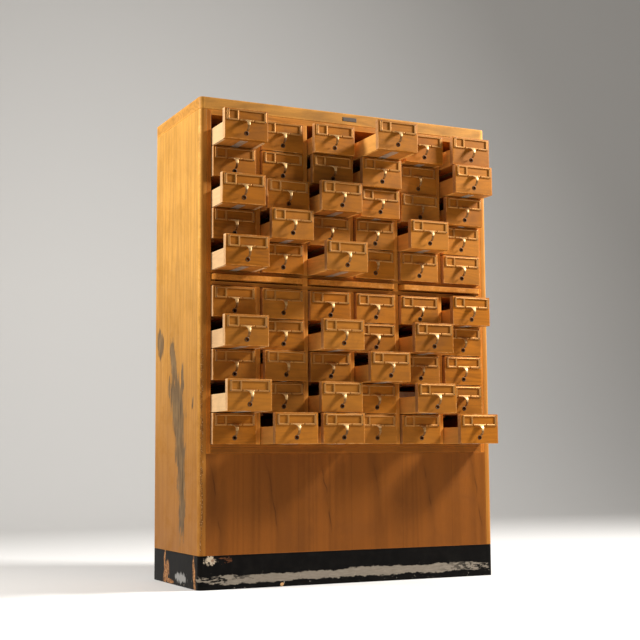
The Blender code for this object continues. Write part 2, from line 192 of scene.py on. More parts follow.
def drawer_places():
    """Middle x, face y and underside z of every drawer, and the body that carries it.

    A column's middle and a row's underside come from any sliding drawer that lies in it.
    A drawer that the frame holds as one solid with its bank is shut.
    """
    middle, under, out = {}, {}, {}
    for joint in frame["joints"]:
        name = joint["child"]
        if name.startswith("drawer_row"):
            low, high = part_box(name)
            place = int(name[10:12]), int(name[-1])
            middle[place[1]] = (low.x + high.x) / 2
            under[place[0]] = low.z
            out[place] = -joint["range_m"][0]
    places = {}
    for row in range(1, 2 * rows + 1):
        for column in range(1, columns + 1):
            body = "drawer_row%02d_col%d" % (row, column) if (row, column) in out else "cabinet"
            front = face_y - front_proud - out.get((row, column), 0.0)
            places[row, column] = (middle[column], front, under[row], body)
    return places


# ---- Surfaces


def loft(rings, edge, slot=0, plank=0.0, wrap=False):
    """Surface through rings of points, given as rows by points by three.

    Point i of a row joins point i + 1 and the same points of the next row. The two ends
    are closed by a face each, or the last row joins the first where wrap is on. Where the
    volume comes out negative the faces are turned round, so that they look outwards.
    """
    count, around = rings.shape[:2]
    index = np.arange(count * around).reshape(count, around)
    near = index if wrap else index[:-1]
    far = np.roll(index, -1, axis=0) if wrap else index[1:]
    quads = np.stack([near, np.roll(near, -1, 1), np.roll(far, -1, 1), far], axis=-1).reshape(-1, 4)
    ends = [] if wrap else [index[0][::-1], index[-1]]
    wear = np.broadcast_to(edge, (count, around)).reshape(-1)
    points = rings.reshape(-1, 3)
    fans = [np.column_stack([np.full(len(end) - 2, end[0]), end[1:-1], end[2:]]) for end in ends]
    corners = (points - points.mean(axis=0))[np.concatenate([quads[:, :3], quads[:, [0, 2, 3]], *fans])]
    if np.einsum('ij,ij->', corners[:, 0], np.cross(corners[:, 1], corners[:, 2])) < 0:
        quads, ends = quads[:, ::-1], [end[::-1] for end in ends]
    return {"points": points, "quads": quads, "ends": ends, "edge": wear, "slot": slot, "plank": plank}


def circle(count):
    """Sines and cosines at even steps round a circle."""
    angle = np.arange(count) / count * 2 * math.pi
    return np.sin(angle), np.cos(angle)


def unit(rows):
    """Vectors brought to length one."""
    return rows / np.linalg.norm(rows, axis=-1, keepdims=True)


def quarter_round(radius, steps=2):
    """Insets and heights along a rounded edge, from the end of a board round to its wall.

    They are radius * (1 - sin t) and radius * (1 - cos t) for t over a quarter turn.
    """
    turn = np.linspace(0, math.pi / 2, steps + 1)
    return np.column_stack([1 - np.sin(turn), 1 - np.cos(turn)]) * radius


def both_ends(path, tall):
    """A path of insets and heights from one end of a board, and the same back over the other."""
    path = np.array(path, float)
    return np.concatenate([path, path[::-1] * (1, -1) + (0, tall)])


def outline(half, radii, fade, steps):
    """Rectangle with rounded corners, counter-clockwise, as what each row of a slab needs.

    A corner's points lie on centre + radius * (cos a, sin a) for a over a quarter turn.
    One plain point stands beside each end of an arc, where the wear of the corner ends.
    """
    half = np.asarray(half, float)
    turn = np.linspace(0, math.pi / 2, steps + 1)
    signs, ways, radius, plain, points, normals = [], [], [], [], [], []
    for u, bend in zip(np.array([(1, 0), (0, 1), (-1, 0), (0, -1)], float), radii):
        v = np.array([-u[1], u[0]])
        arc = u * np.cos(turn)[:, None] + v * np.sin(turn)[:, None]
        ways += [u[None], arc, v[None]]
        plain += [True] + [False] * len(turn) + [True]
        tip = half * (u + v)
        points += [(tip - v * (bend + fade))[None], np.zeros_like(arc), (tip - u * (bend + fade))[None]]
        normals += [u[None], np.zeros_like(arc), v[None]]
        signs += [u + v] * (len(turn) + 2)
        radius += [bend] * (len(turn) + 2)
    return {"half": half, "sign": np.array(signs), "way": np.concatenate(ways), "radius": np.array(radius),
            "plain": np.array(plain), "point": np.concatenate(points), "normal": np.concatenate(normals)}


def inset_row(shape, inset):
    """The outline moved inwards: an arc keeps its centre until its radius is used up."""
    least = 0.15 * MM
    bend = np.maximum(shape["radius"] - inset, least)[:, None]
    arcs = shape["sign"] * (shape["half"] - inset) - shape["sign"] * bend + shape["way"] * bend
    sides = shape["point"] - inset * shape["normal"]
    return np.where(shape["plain"][:, None], sides, arcs)


def stacked(shape, path):
    """The outline carried along a path: one row for each inset and height."""
    return np.stack([np.insert(inset_row(shape, inset), 2, height, axis=1) for inset, height in path])


def slab(low, high, radius, axis=2, corners=None, fade=None, steps=2, slot=0, plank=0.0):
    """Board between two corners with rounded edges, its broad ends square to an axis.

    A row of the outline is carried along the axis: inwards over the first end, out along
    a quarter round, straight along the walls and back over the other end.
    """
    fade = props("sizes").wear_reach if fade is None else fade
    order = [(axis + 1) % 3, (axis + 2) % 3, axis]
    low, high = np.array(low, float)[order], np.array(high, float)[order]
    wide, deep, tall = high - low
    corners = corners or [radius] * 4
    fade = min(fade, 0.42 * (min(wide, deep) - max(corners) - min(corners)))
    along = min(fade, 0.42 * (tall - 2 * radius))
    shape = outline((wide / 2, deep / 2), corners, fade, steps)
    near = [(radius + 0.6 * fade, 0), *quarter_round(radius, steps), (0, radius + along)]
    rings = stacked(shape, both_ends(near, tall)) + (*(low + high)[:2] / 2, low[2])
    edge = np.ones(rings.shape[:2])
    edge[[0, -1]] = 0
    edge[[steps + 2, steps + 3]] = np.where(shape["plain"], 0.0, 1.0)
    return loft(rings[..., np.argsort(order)], edge, slot, plank)


def bar(low, high, plank):
    """Small strip of wood with a chamfer of a tenth of its thickness, in few faces."""
    order = [0, 2, 1]
    low, high = np.array(low, float)[order], np.array(high, float)[order]
    wide, tall, long = high - low
    cut = 0.1 * min(wide, tall, long)
    shape = outline((wide / 2, tall / 2), [cut] * 4, cut, 1)
    rings = stacked(shape, both_ends([(cut, 0), (0, cut)], long))[:, ~shape["plain"]]
    return loft((rings + (*(low + high)[:2] / 2, low[2]))[..., order], 0.5, plank=plank)


def pierced_front(x, y, z, plank, wall_slot):
    """Drawer front with rounded edges and the round hole for the guide rod.

    Rays leave the hole's middle at even angles and through the corners. Along each ray the
    surface runs from the hole over the face, round the edge, back over the rear and
    through the hole, and so closes on itself.
    """
    sizes = props("sizes")
    radius, fade, lip = sizes.front_round, sizes.wear_reach, 0.4 * MM
    half = np.array([front_height, front_width]) / 2
    hole = np.array([hole_height - half[0], 0.0])
    shape = outline(half, [radius] * 4, fade, 2)
    angles = np.arange(48) / 48 * 2 * math.pi + 0.01
    ray = np.column_stack([np.cos(angles), np.sin(angles)])
    reach = (np.sign(ray) * half - hole) / ray
    each, nearest = np.arange(len(ray)), reach.argmin(axis=1)
    hits = hole + ray * reach.min(axis=1)[:, None]
    free = np.abs(hits[each, 1 - nearest]) < half[1 - nearest] - radius - fade
    normal = np.zeros_like(ray)
    normal[each, nearest] = np.sign(ray[each, nearest])
    extra = {"sign": np.sign(hits), "way": ray, "radius": np.full(len(hits), radius),
             "plain": np.ones(len(hits), bool), "point": hits, "normal": normal}
    for key, values in extra.items():
        shape[key] = np.concatenate([shape[key], values[free]])
    order = np.argsort(np.arctan2(*(inset_row(shape, 0) - hole).T[::-1]))
    for key in extra:
        shape[key] = shape[key][order]
    outer = inset_row(shape, 0)
    way = unit(outer - hole)

    def hole_rows(*path):
        """Rows round the hole, one for each radius and depth."""
        return [np.insert(hole + way * r, 2, depth, axis=1) for r, depth in path]

    inner, back = radius + 0.6 * fade, front_thickness
    face = [(inner, 0.0), *quarter_round(radius), (0.0, radius + 4 * MM), (0.0, back - lip), (lip, back),
            (inner, back)]
    rings = np.array([*hole_rows((hole_radius, lip), (hole_radius + lip, 0.0), (hole_radius + 3 * MM, 0.0)),
                      *stacked(shape, face), *hole_rows((hole_radius, back))])
    arc, wall = 4, 7
    edge = np.zeros(rings.shape[:2])
    edge[arc:wall] = 1
    edge[wall:wall + 2] = np.where(shape["plain"], 0.15, 1.0)
    flank = np.abs(outer[:, 1]) > half[1] - radius
    slots = np.zeros(rings.shape[:2], int)
    slots[wall - 1:wall + 2, flank & np.roll(flank, -1)] = wall_slot
    return loft(rings[..., [1, 2, 0]] + (x, y, z + half[0]), edge, slots.reshape(-1), plank, wrap=True)


def tartan(xs, zs, near, far, gaps):
    """Plate cut into cells by two lists of lines, with some of the cells left out.

    Each kept cell has a face in front and behind, and a wall where its neighbour is missing.
    """
    points = np.stack(np.meshgrid((near, far), zs, xs, indexing='ij'), axis=-1).reshape(-1, 3)[:, [2, 0, 1]]
    across, behind = len(xs), len(xs) * len(zs)
    kept = np.ones((len(zs) - 1, across - 1), bool)
    for i, k in gaps:
        kept[k, i] = False
    k, i = np.nonzero(kept)
    cell = (k * across + i)[:, None] + (0, 1, across + 1, across)
    quads = [cell, cell[:, ::-1] + behind]
    fenced = np.pad(kept, 1)
    below, after, above, before = fenced[:-2, 1:-1], fenced[1:-1, 2:], fenced[2:, 1:-1], fenced[1:-1, :-2]
    for a, b, neighbour in ((0, 1, below), (1, 2, after), (2, 3, above), (3, 0, before)):
        edge = cell[~neighbour[kept]]
        quads.append(np.column_stack([edge[:, b], edge[:, a], edge[:, a] + behind, edge[:, b] + behind]))
    used, quads = np.unique(np.concatenate(quads), return_inverse=True)
    return {"points": points[used], "quads": quads.reshape(-1, 4), "ends": [], "edge": np.ones(len(used)),
            "slot": 0, "plank": 0.0}


def lathe(profile, x, y, z, around, slot=0, wrap=True):
    """Profile of radius and depth pairs turned about a line along Y.

    A ring's points are radius * (sin a, cos a) in X and Z, and lie at the depth in Y.
    """
    sine, cosine = circle(around)
    ring = np.column_stack([sine, np.zeros(around), cosine])
    radius, depth = np.array(profile, float).T[..., None, None]
    return loft(radius * ring + depth * (0.0, 1.0, 0.0) + (x, y, z), 1.0, slot, wrap=wrap)


def pull_tongue(x, y, z):
    """Finger pull that runs out of the holder's lower bar.

    Its middle line is a part of an ellipse: reach * sin(t) outwards and drop * (1 - cos(t))
    down. The width falls from base to tip with a power of the share that is left, and each
    section is a flat oval whose outer side is crowned. Its edge value, by which the brass is
    rubbed bright, fades from the root to the tip: partly rubbing, since no finger rubs the tip,
    and partly painted light, a lit root and a tip dark in painted shade where it curls back.
    """
    steps, around = 22, 16
    share = np.linspace(0, 1, steps)
    angle, level = share * tongue_sweep, np.zeros(steps)
    width = tongue_tip + (tongue_base - tongue_tip) * (1 - share) ** tongue_power
    tail = np.clip((share - 0.93) / 0.07, 0, 1)
    half_wide = width / 2 * (np.sqrt(np.clip(1 - tail ** 2, 0, 1)) * 0.94 + 0.06)
    half_thick = tongue_thickness / 2 * (1 - 0.45 * tail)
    centre = np.column_stack([level, -tongue_reach * np.sin(angle), -tongue_drop * (1 - np.cos(angle))])
    slope = unit(np.column_stack([level, -tongue_reach * np.cos(angle), -tongue_drop * np.sin(angle)]))
    out = np.cross((1.0, 0.0, 0.0), slope)
    sine, cosine = circle(around)
    wide = np.sign(cosine) * np.abs(cosine) ** 0.5
    thick = np.sign(sine) * np.abs(sine) ** 0.6
    crown = 0.35 * (1 - wide ** 2)
    rise = half_thick[:, None] * (thick - crown)
    rings = centre[:, None] + rise[..., None] * out[:, None] + (x, y, z)
    rings[..., 0] += half_wide[:, None] * wide
    # Bright at the root and dark at the tip: partly rubbing, partly painted light and shade
    rubbed = 1.5 * np.clip((0.85 - share) / 0.3, 0, 1)
    return loft(rings, rubbed[:, None])


def swept_plate(line, thickness, low_x, high_x):
    """Thin bent plate: a line in the YZ plane, thickened to both sides and carried along X."""
    line = np.array(line, float)
    normal = unit(np.gradient(line, axis=0))[:, ::-1] * (-1, 1) * thickness / 2
    ring = np.concatenate([line + normal, (line - normal)[::-1]])
    return loft(np.stack([np.insert(ring, 0, x, axis=1) for x in (low_x, high_x)]), 1.0)


# ---- Meshes


def piece(name, patches, finishes, body, slot, replaces=(), bevel=0.0):
    """Join patches into one object of the frame, with its attributes and the named finishes."""
    starts = np.cumsum([0] + [len(patch["points"]) for patch in patches])
    corners, totals, slots = [], [], []
    for patch, start in zip(patches, starts):
        for face in (patch["quads"], *(end[None] for end in patch["ends"])):
            corners.append((face + start).reshape(-1))
            totals.append(np.full(len(face), face.shape[1]))
        slots.append(np.broadcast_to(patch["slot"], len(patch["quads"])))
        slots.append(np.full(len(patch["ends"]), np.max(patch["slot"])))
    corners, totals = np.concatenate(corners), np.concatenate(totals)
    mesh = bpy.data.meshes.new(name)
    mesh.vertices.add(int(starts[-1]))
    mesh.vertices.foreach_set("co", np.concatenate([p["points"] for p in patches]).astype(np.float32).ravel())
    mesh.loops.add(len(corners))
    mesh.loops.foreach_set("vertex_index", corners.astype(np.int32))
    mesh.polygons.add(len(totals))
    mesh.polygons.foreach_set("loop_start", (np.cumsum(totals) - totals).astype(np.int32))
    mesh.polygons.foreach_set("material_index", np.concatenate(slots).astype(np.int32))
    mesh.update(calc_edges=True)
    for key in ("edge", "plank"):
        values = [np.broadcast_to(p[key], len(p["points"])) for p in patches]
        layer = mesh.attributes.new(key, 'FLOAT', 'POINT')
        layer.data.foreach_set("value", np.concatenate(values).astype(np.float32))
    mesh.polygons.foreach_set("use_smooth", np.ones(len(totals), bool))
    mesh.set_sharp_from_angle(angle=smooth_angle)
    for kind in finishes:
        mesh.materials.append(bpy.data.materials[kind])
    obj = bpy.data.objects.new(name, mesh)
    bpy.context.scene.collection.objects.link(obj)
    if bevel:
        rounding = obj.modifiers.new("rounding", 'BEVEL')
        rounding.width, rounding.segments = bevel, 3
        rounding.limit_method, rounding.harden_normals = 'ANGLE', False
    obj.modifiers.new("shading", 'WEIGHTED_NORMAL').keep_sharp = True
    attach(obj, body)
    if replaces:
        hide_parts(*replaces)


# ---- Nodes


class Wire:
    """Output of a node. The signs + - * / and abs each put a Math node behind it."""

    def __init__(self, socket):
        self.socket, self.tree = socket, socket.id_data

    def __add__(self, other):
        return maths('ADD', self, other)

    def __sub__(self, other):
        return maths('SUBTRACT', self, other)

    def __rsub__(self, other):
        return maths('SUBTRACT', other, self)

    def __mul__(self, other):
        return maths('MULTIPLY', self, other)

    def __truediv__(self, other):
        return maths('DIVIDE', self, other)

    def __abs__(self):
        return maths('ABSOLUTE', self)


class Outputs:
    """The outputs of a node as wires, by name or by place."""

    def __init__(self, node):
        self.node = node

    def __getitem__(self, key):
        return Wire(self.node.outputs[key])


def feed(socket, value):
    """Link a wire to an input or set its value; a colour gets its alpha."""
    if isinstance(value, Wire):
        value.tree.links.new(value.socket, socket)
    elif socket.type == 'RGBA':
        socket.default_value = (*value[:3], 1.0)
    else:
        socket.default_value = value


def put(kind, inputs=None, tree=None, **settings):
    """Add a node to the tree of its first wire, with its own settings and its inputs."""
    inputs = inputs or {}
    tree = tree or next(value.tree for value in inputs.values() if isinstance(value, Wire))
    node = tree.nodes.new(kind)
    for key, value in settings.items():
        setattr(node, key, value)
    for key, value in inputs.items():
        feed(node.inputs[key], value)
    return Outputs(node)


def maths(operation, *values, clamp=False):
    """Math node."""
    return put("ShaderNodeMath", dict(enumerate(values)), operation=operation, use_clamp=clamp)[0]


def multiply_add(a, b, c, clamp=False):
    """Math node that gives a * b + c."""
    return maths('MULTIPLY_ADD', a, b, c, clamp=clamp)


def fract(value):
    """What a value has behind its point."""
    return maths('FRACT', value)


def vectors(operation, a, b):
    """Vector Math node."""
    return put("ShaderNodeVectorMath", {0: a, 1: b}, operation=operation)["Vector"]


def stretched(vector, x, y, z):
    """A vector with each of its parts multiplied; a small number draws a pattern out."""
    return vectors('MULTIPLY', vector, (x, y, z))


def axes(vector):
    """The three parts of a vector."""
    parts = put("ShaderNodeSeparateXYZ", {0: vector})
    return parts[0], parts[1], parts[2]


def joined(x, y, z):
    """A vector from three parts."""
    return put("ShaderNodeCombineXYZ", {0: x, 1: y, 2: z})[0]


def blend(share, a, b):
    """Colour that goes from a to b as the share goes from 0 to 1."""
    return put("ShaderNodeMix", {0: share, 6: a, 7: b}, data_type='RGBA', clamp_factor=True)[2]


def between(value, low, high):
    """Smooth step of a value from 0 at low to 1 at high."""
    inputs = {"Value": value, "From Min": low, "From Max": high, "To Min": 0.0, "To Max": 1.0}
    return put("ShaderNodeMapRange", inputs, interpolation_type='SMOOTHSTEP')["Result"]


def noise(vector, scale, detail=2.0, rough=0.5, distort=0.0):
    """Value of a noise texture."""
    inputs = {"Vector": vector, "Scale": scale, "Detail": detail, "Roughness": rough, "Distortion": distort}
    return put("ShaderNodeTexNoise", inputs)["Fac"]


def object_space(tree):
    """Object coordinates."""
    return put("ShaderNodeTexCoord", tree=tree)["Object"]


def attribute(tree, name):
    """A float attribute of the mesh."""
    return put("ShaderNodeAttribute", tree=tree, attribute_name=name)["Fac"]


# ---- Node groups


def new_group(name, inputs, **outputs):
    """Start a shader node group from its inputs with their defaults and its outputs with their kinds.

    An input is a value, a vector or a colour when its default has one, three or four numbers.
    """
    group = bpy.data.node_groups.new(name, "ShaderNodeTree")
    for label, default in inputs.items():
        kind = {3: "Vector", 4: "Color"}[len(default)] if isinstance(default, tuple) else "Float"
        socket = group.interface.new_socket(name=label, in_out='INPUT', socket_type="NodeSocket" + kind)
        socket.default_value = default
    for label, kind in outputs.items():
        group.interface.new_socket(name=label, in_out='OUTPUT', socket_type="NodeSocket" + kind)
    return Outputs(group.nodes.new("NodeGroupInput")), group.nodes.new("NodeGroupOutput").inputs


def placed(name, **inputs):
    """Place a node group with its values."""
    return put("ShaderNodeGroup", inputs, node_tree=bpy.data.node_groups[name])


def grain_group():
    """Wood grain that runs along the vector's X.

    A noise stretched along the grain is read as a height, and its contour lines are the
    growth rings. Finer stretched noises give fibres and short dark pores.
    """
    given, give = new_group("Wood Grain", dict(
        Vector=(0.0, 0.0, 0.0), Plank=0.0, Light=(0.7, 0.4, 0.15, 1.0), Body=(0.5, 0.25, 0.08, 1.0),
        Dark=(0.25, 0.1, 0.03, 1.0), Figure=1.0, Along=1.0, Rings=0.5, Fibres=0.5),
        Color="Color", Height="Float")
    plank, dark = given["Plank"], given["Dark"]
    place = vectors('ADD', given["Vector"], joined(plank * 17.0, plank * 5.3, plank * 9.1))
    fine = stretched(place, 1.0, 28.0, 28.0)
    broad = vectors('MULTIPLY', place, joined(given["Along"], 8.0, 8.0))
    field = noise(broad, given["Figure"] * 2.0, 1.5, 0.45, 0.25)
    ring = maths('POWER', multiply_add(maths('SINE', field * 62.0), 0.5, 0.5), 1.6)
    cloud = between(noise(place, 5.5), 0.32, 0.68)
    fibre = between(noise(fine, 26.0, 3.0, 0.6), 0.25, 0.75)
    pore = between(noise(fine, 75.0, 1.0), 0.63, 0.72)
    colour = blend(between(cloud * 0.55 + field * 0.45, 0.2, 0.75), given["Body"], given["Light"])
    for mask in (ring * given["Rings"], (1.0 - fibre) * given["Fibres"], pore * 0.35):
        colour = blend(mask, colour, dark)
    feed(give["Color"], colour)
    feed(give["Height"], multiply_add(ring, 0.25, fibre) - pore * 0.8)


def wear_group():
    """Worn edges: the edge attribute, broken up by two noises, past a threshold."""
    given, give = new_group("Edge Wear", dict(Vector=(0.0, 0.0, 0.0), Edge=0.0, Amount=0.5), Worn="Float",
                            Near="Float")
    coarse = noise(given["Vector"], 22.0, 3.0, 0.6)
    fine = noise(given["Vector"], 160.0, 3.0, 0.65)
    ragged = coarse * 0.7 + fine * 0.5
    level = given["Edge"] * 0.62 + ragged * 0.75 + given["Amount"]
    feed(give["Worn"], between(level, 1.22, 1.45))
    feed(give["Near"], maths('POWER', given["Edge"], 2.0) * between(ragged, 0.35, 0.8))


def grime_group():
    """Uneven dirt: cloudy patches and a scatter of small spots."""
    given, give = new_group("Grime", dict(Vector=(0.0, 0.0, 0.0), Scale=1.0), Patches="Float", Spots="Float")
    patches = noise(given["Vector"], given["Scale"] * 9.0, 5.0, 0.62, 0.4)
    spots = noise(given["Vector"], given["Scale"] * 240.0)
    feed(give["Patches"], between(patches, 0.45, 0.72))
    feed(give["Spots"], between(spots, 0.70, 0.76))


def scuff_group():
    """One scuff on an upright face: a ragged ellipse in Y and Z that leans with height."""
    given, give = new_group("Scuff", dict(Vector=(0.0, 0.0, 0.0), Centre=(0.0, 0.0, 0.0), Half=(1.0, 1.0, 1.0),
                                          Lean=0.0, Ragged=0.4), Mask="Float")
    _, y, z = axes(vectors('SUBTRACT', given["Vector"], given["Centre"]))
    _, half_y, half_z = axes(given["Half"])
    wander = multiply_add(noise(given["Vector"], 14.0, 3.0), 0.036, -0.018)
    a = (y - z * given["Lean"] + wander) / half_y
    b = z / half_z
    streaks = noise(stretched(given["Vector"], 1.0, 1.0, 0.12), 130.0, 3.0, 0.6)
    level = maths('SQRT', a * a + b * b) + (streaks - 0.5) * given["Ragged"]
    feed(give["Mask"], 1.0 - between(level, 0.80, 0.98))


def scuffs(vector, *marks):
    """Scuffs together, each given by middle and half size in Y and Z, in millimetres, lean and raggedness."""
    total = None
    for (y, z), (half_y, half_z), lean, ragged in marks:
        mask = placed("Scuff", Vector=vector, Centre=(0.0, y * MM, z * MM),
                      Half=(1.0, half_y * MM, half_z * MM), Lean=lean, Ragged=ragged)["Mask"]
        total = maths('MAXIMUM', total, mask) if total else mask
    return total


# ---- Materials


def blank(name):
    """The node tree of a new material and its Principled shader."""
    material = bpy.data.materials.new(name)
    material.use_nodes = True
    return material.node_tree, material.node_tree.nodes["Principled BSDF"]


def surface(shader, colour, rough, height, strength, distance, **levels):
    """Give a shader its colour, roughness and relief, and levels that are the same all over."""
    relief = put("ShaderNodeBump", {"Height": height, "Strength": strength, "Distance": distance})
    feed(shader.inputs["Base Color"], colour)
    feed(shader.inputs["Roughness"], rough)
    feed(shader.inputs["Normal"], relief["Normal"])
    for key, value in levels.items():
        feed(shader.inputs[key.replace("_", " ")], value)


def tinted(colour, share):
    """A colour made darker or paler by a share of itself."""
    return tuple(min(float(v) * share, 0.92) for v in colour[:3])


def blended(a, b, share):
    """A colour between two others."""
    return tuple((1 - share) * float(v) + share * float(w) for v, w in zip(a, b))


def wood(name, along, colour, rough, light=1.16, dark=0.42, figure=1.0, stretch=1.0, rings=0.3, fibres=0.3,
         wear=0.3, tones=0.0, dirt=0.3, bump=0.12, other=None):
    """Varnished wood with grain, tone from board to board, worn edges and grime.

    The grain runs along the axis that is named. Tones says how much boards differ, and
    other is a colour that some of them lean to. Gives back the Object coordinates, the
    colour and the shader, for a wood that is taken further.
    """
    tree, shader = blank(name)
    coords, plank = object_space(tree), attribute(tree, "plank")
    x, y, z = axes(coords)
    turned = {'X': (x, y, z), 'Y': (y, z, x), 'Z': (z, x, y)}[along]
    grain = placed("Wood Grain", Vector=joined(*turned), Plank=plank, Light=tinted(colour, light),
                   Body=colour, Dark=tinted(colour, dark), Figure=figure, Along=stretch, Rings=rings,
                   Fibres=fibres)
    shade = blend(fract(plank * 7.31) * tones, grain["Color"], tinted(colour, 0.45))
    shade = blend(fract(plank * 3.77) * (tones * 0.7), shade, tinted(colour, 1.45))
    if other:
        shade = blend(fract(plank * 5.13) * 0.5, shade, blend(0.6, grain["Color"], other))
    grime = placed("Grime", Vector=coords, Scale=1.0)
    shade = blend(grime["Patches"] * dirt, shade, tinted(colour, 0.38))
    shade = blend(grime["Spots"] * (dirt * 0.8), shade, tinted(colour, 0.2))
    worn = placed("Edge Wear", Vector=coords, Edge=attribute(tree, "edge"), Amount=wear - 0.3)
    shade = blend(worn["Near"] * 0.7, shade, tinted(colour, 1.5))
    shade = blend(worn["Worn"] * 0.8, shade, blended(colour, (0.86, 0.56, 0.24), 0.5))
    dull = multiply_add(worn["Worn"], 0.2, multiply_add(grime["Patches"], 0.18, rough), clamp=True)
    surface(shader, shade, dull, grain["Height"], bump, 0.4 * MM, Specular_IOR_Level=0.10)
    return coords, shade, shader


def side_wood(name, colour):
    """Side board: straight golden grain, a painted shade that darkens it towards the floor,
    grey where moving it left scuffs outside.

    Its front is browner, a painted shade, and low down the edge beside it is nicked to pale splinters.
    """
    coords, shade, shader = wood(name, 'Z', colour, 0.40, figure=0.8, stretch=0.3, rings=0.34, fibres=0.4,
                                 wear=0.44, dirt=0.2)
    x, y, z = axes(coords)
    marks = scuffs(coords, ((24, 690), (32, 80), 0.25, 1.5), ((-8, 556), (68, 108), 0.20, 1.6),
                   ((-58, 640), (13, 60), 0.0, 0.9), ((63, 618), (9, 42), 0.05, 0.8),
                   ((-36, 430), (48, 112), 0.15, 1.9), ((-50, 320), (40, 104), 0.10, 2.0),
                   ((-58, 222), (27, 96), 0.0, 2.2), ((160, 765), (32, 52), 0.10, 1.4),
                   ((-152, 560), (7, 22), -0.1, 0.4))
    outside = between(x * -1.0, case_half - 2 * MM, case_half - 1 * MM)
    soft = stretched(coords, 1.0, 1.0, 0.2)
    patchy = multiply_add(noise(soft, 45.0, 4.0, 0.65), 0.7, 0.62, clamp=True)
    streaky = between(noise(stretched(coords, 1.0, 1.0, 0.1), 120.0, 3.0, 0.6), 0.35, 0.65)
    grey = blend(streaky, (0.088, 0.050, 0.021), (0.215, 0.128, 0.053))
    # Painted shade: the board darkens towards the floor, where less light reaches it
    shade = blend(between(z, 1.15, 0.10) * 0.7, shade, (0.27, 0.088, 0.012))
    shade = blend(marks * outside * patchy, shade, grey)
    # Painted shade on the board's front face, which the lamp from the left barely reaches
    brown = blend(noise(soft, 60.0, 3.0), (0.26, 0.085, 0.010), (0.42, 0.165, 0.024))
    shade = blend(between(y, face_y + 6 * MM, face_y + 1 * MM) * 0.85, shade, brown)
    nicks = between(noise(stretched(coords, 1.0, 1.0, 0.16), 210.0, 3.0, 0.65), 0.46, 0.54)
    inwards = x + case_half
    for value, low, high in ((inwards, 4 * MM, 6 * MM), (inwards, 15 * MM, 12 * MM),
                             (y, face_y + 9 * MM, face_y + 5 * MM), (z, 0.85, 0.60)):
        nicks = nicks * between(value, low, high)
    splinter = blend(between(noise(coords, 320.0), 0.55, 0.62), (0.15, 0.055, 0.013), (0.60, 0.36, 0.15))
    feed(shader.inputs["Base Color"], blend(nicks * 0.75, shade, splinter))


def veneer(name, colour):
    """Base panel: reddish veneer in leaves of one width, each with the same slanted dark streak.

    Across a leaf, the distance from its middle, less a slope times the height and a slow
    noise, is narrow where the streak lies. Where two leaves meet there is a fine line.
    """
    leaf_width, first_joint, streak_height, streak_slope = 185 * MM, -560 * MM, 290 * MM, 0.126
    coords, shade, shader = wood(name, 'Z', colour, 0.36, light=1.1, dark=0.45, figure=0.6, stretch=0.16,
                                 rings=0.34, fibres=0.36, wear=0.22, dirt=0.2, bump=0.06)
    x, _, z = axes(coords)
    bands = between(noise(stretched(coords, 1.0, 1.0, 0.05), 10.0), 0.4, 0.62)
    leaves = (x - first_joint) / leaf_width
    leaf = fract(maths('FLOOR', leaves) * 0.618)
    off_middle = fract(leaves) - 0.5
    away = off_middle * leaf_width
    sway = multiply_add(noise(joined(away, leaf * 0.12, z), 9.0), 40 * MM, -20 * MM)
    off_streak = abs(away + (z - streak_height) * streak_slope + sway)
    tall = between(z, 120 * MM, 210 * MM) * between(z, 400 * MM, 320 * MM)
    uneven = between(noise(coords, 16.0), 0.35, 0.6) * 0.65
    to_joint = 0.5 - abs(off_middle)
    for mask, share in ((bands * 0.4, 1.16), (leaf * 0.16, 0.6),
                        ((1.0 - between(off_streak, 0.0, 22 * MM)) * 0.28, 0.5),
                        ((1.0 - between(off_streak, 0.0, 4 * MM)) * tall * uneven, 0.3),
                        ((1.0 - between(to_joint, 0.0, 0.012)) * 0.4, 0.4)):
        shade = blend(mask, shade, tinted(colour, share))
    feed(shader.inputs["Base Color"], shade)


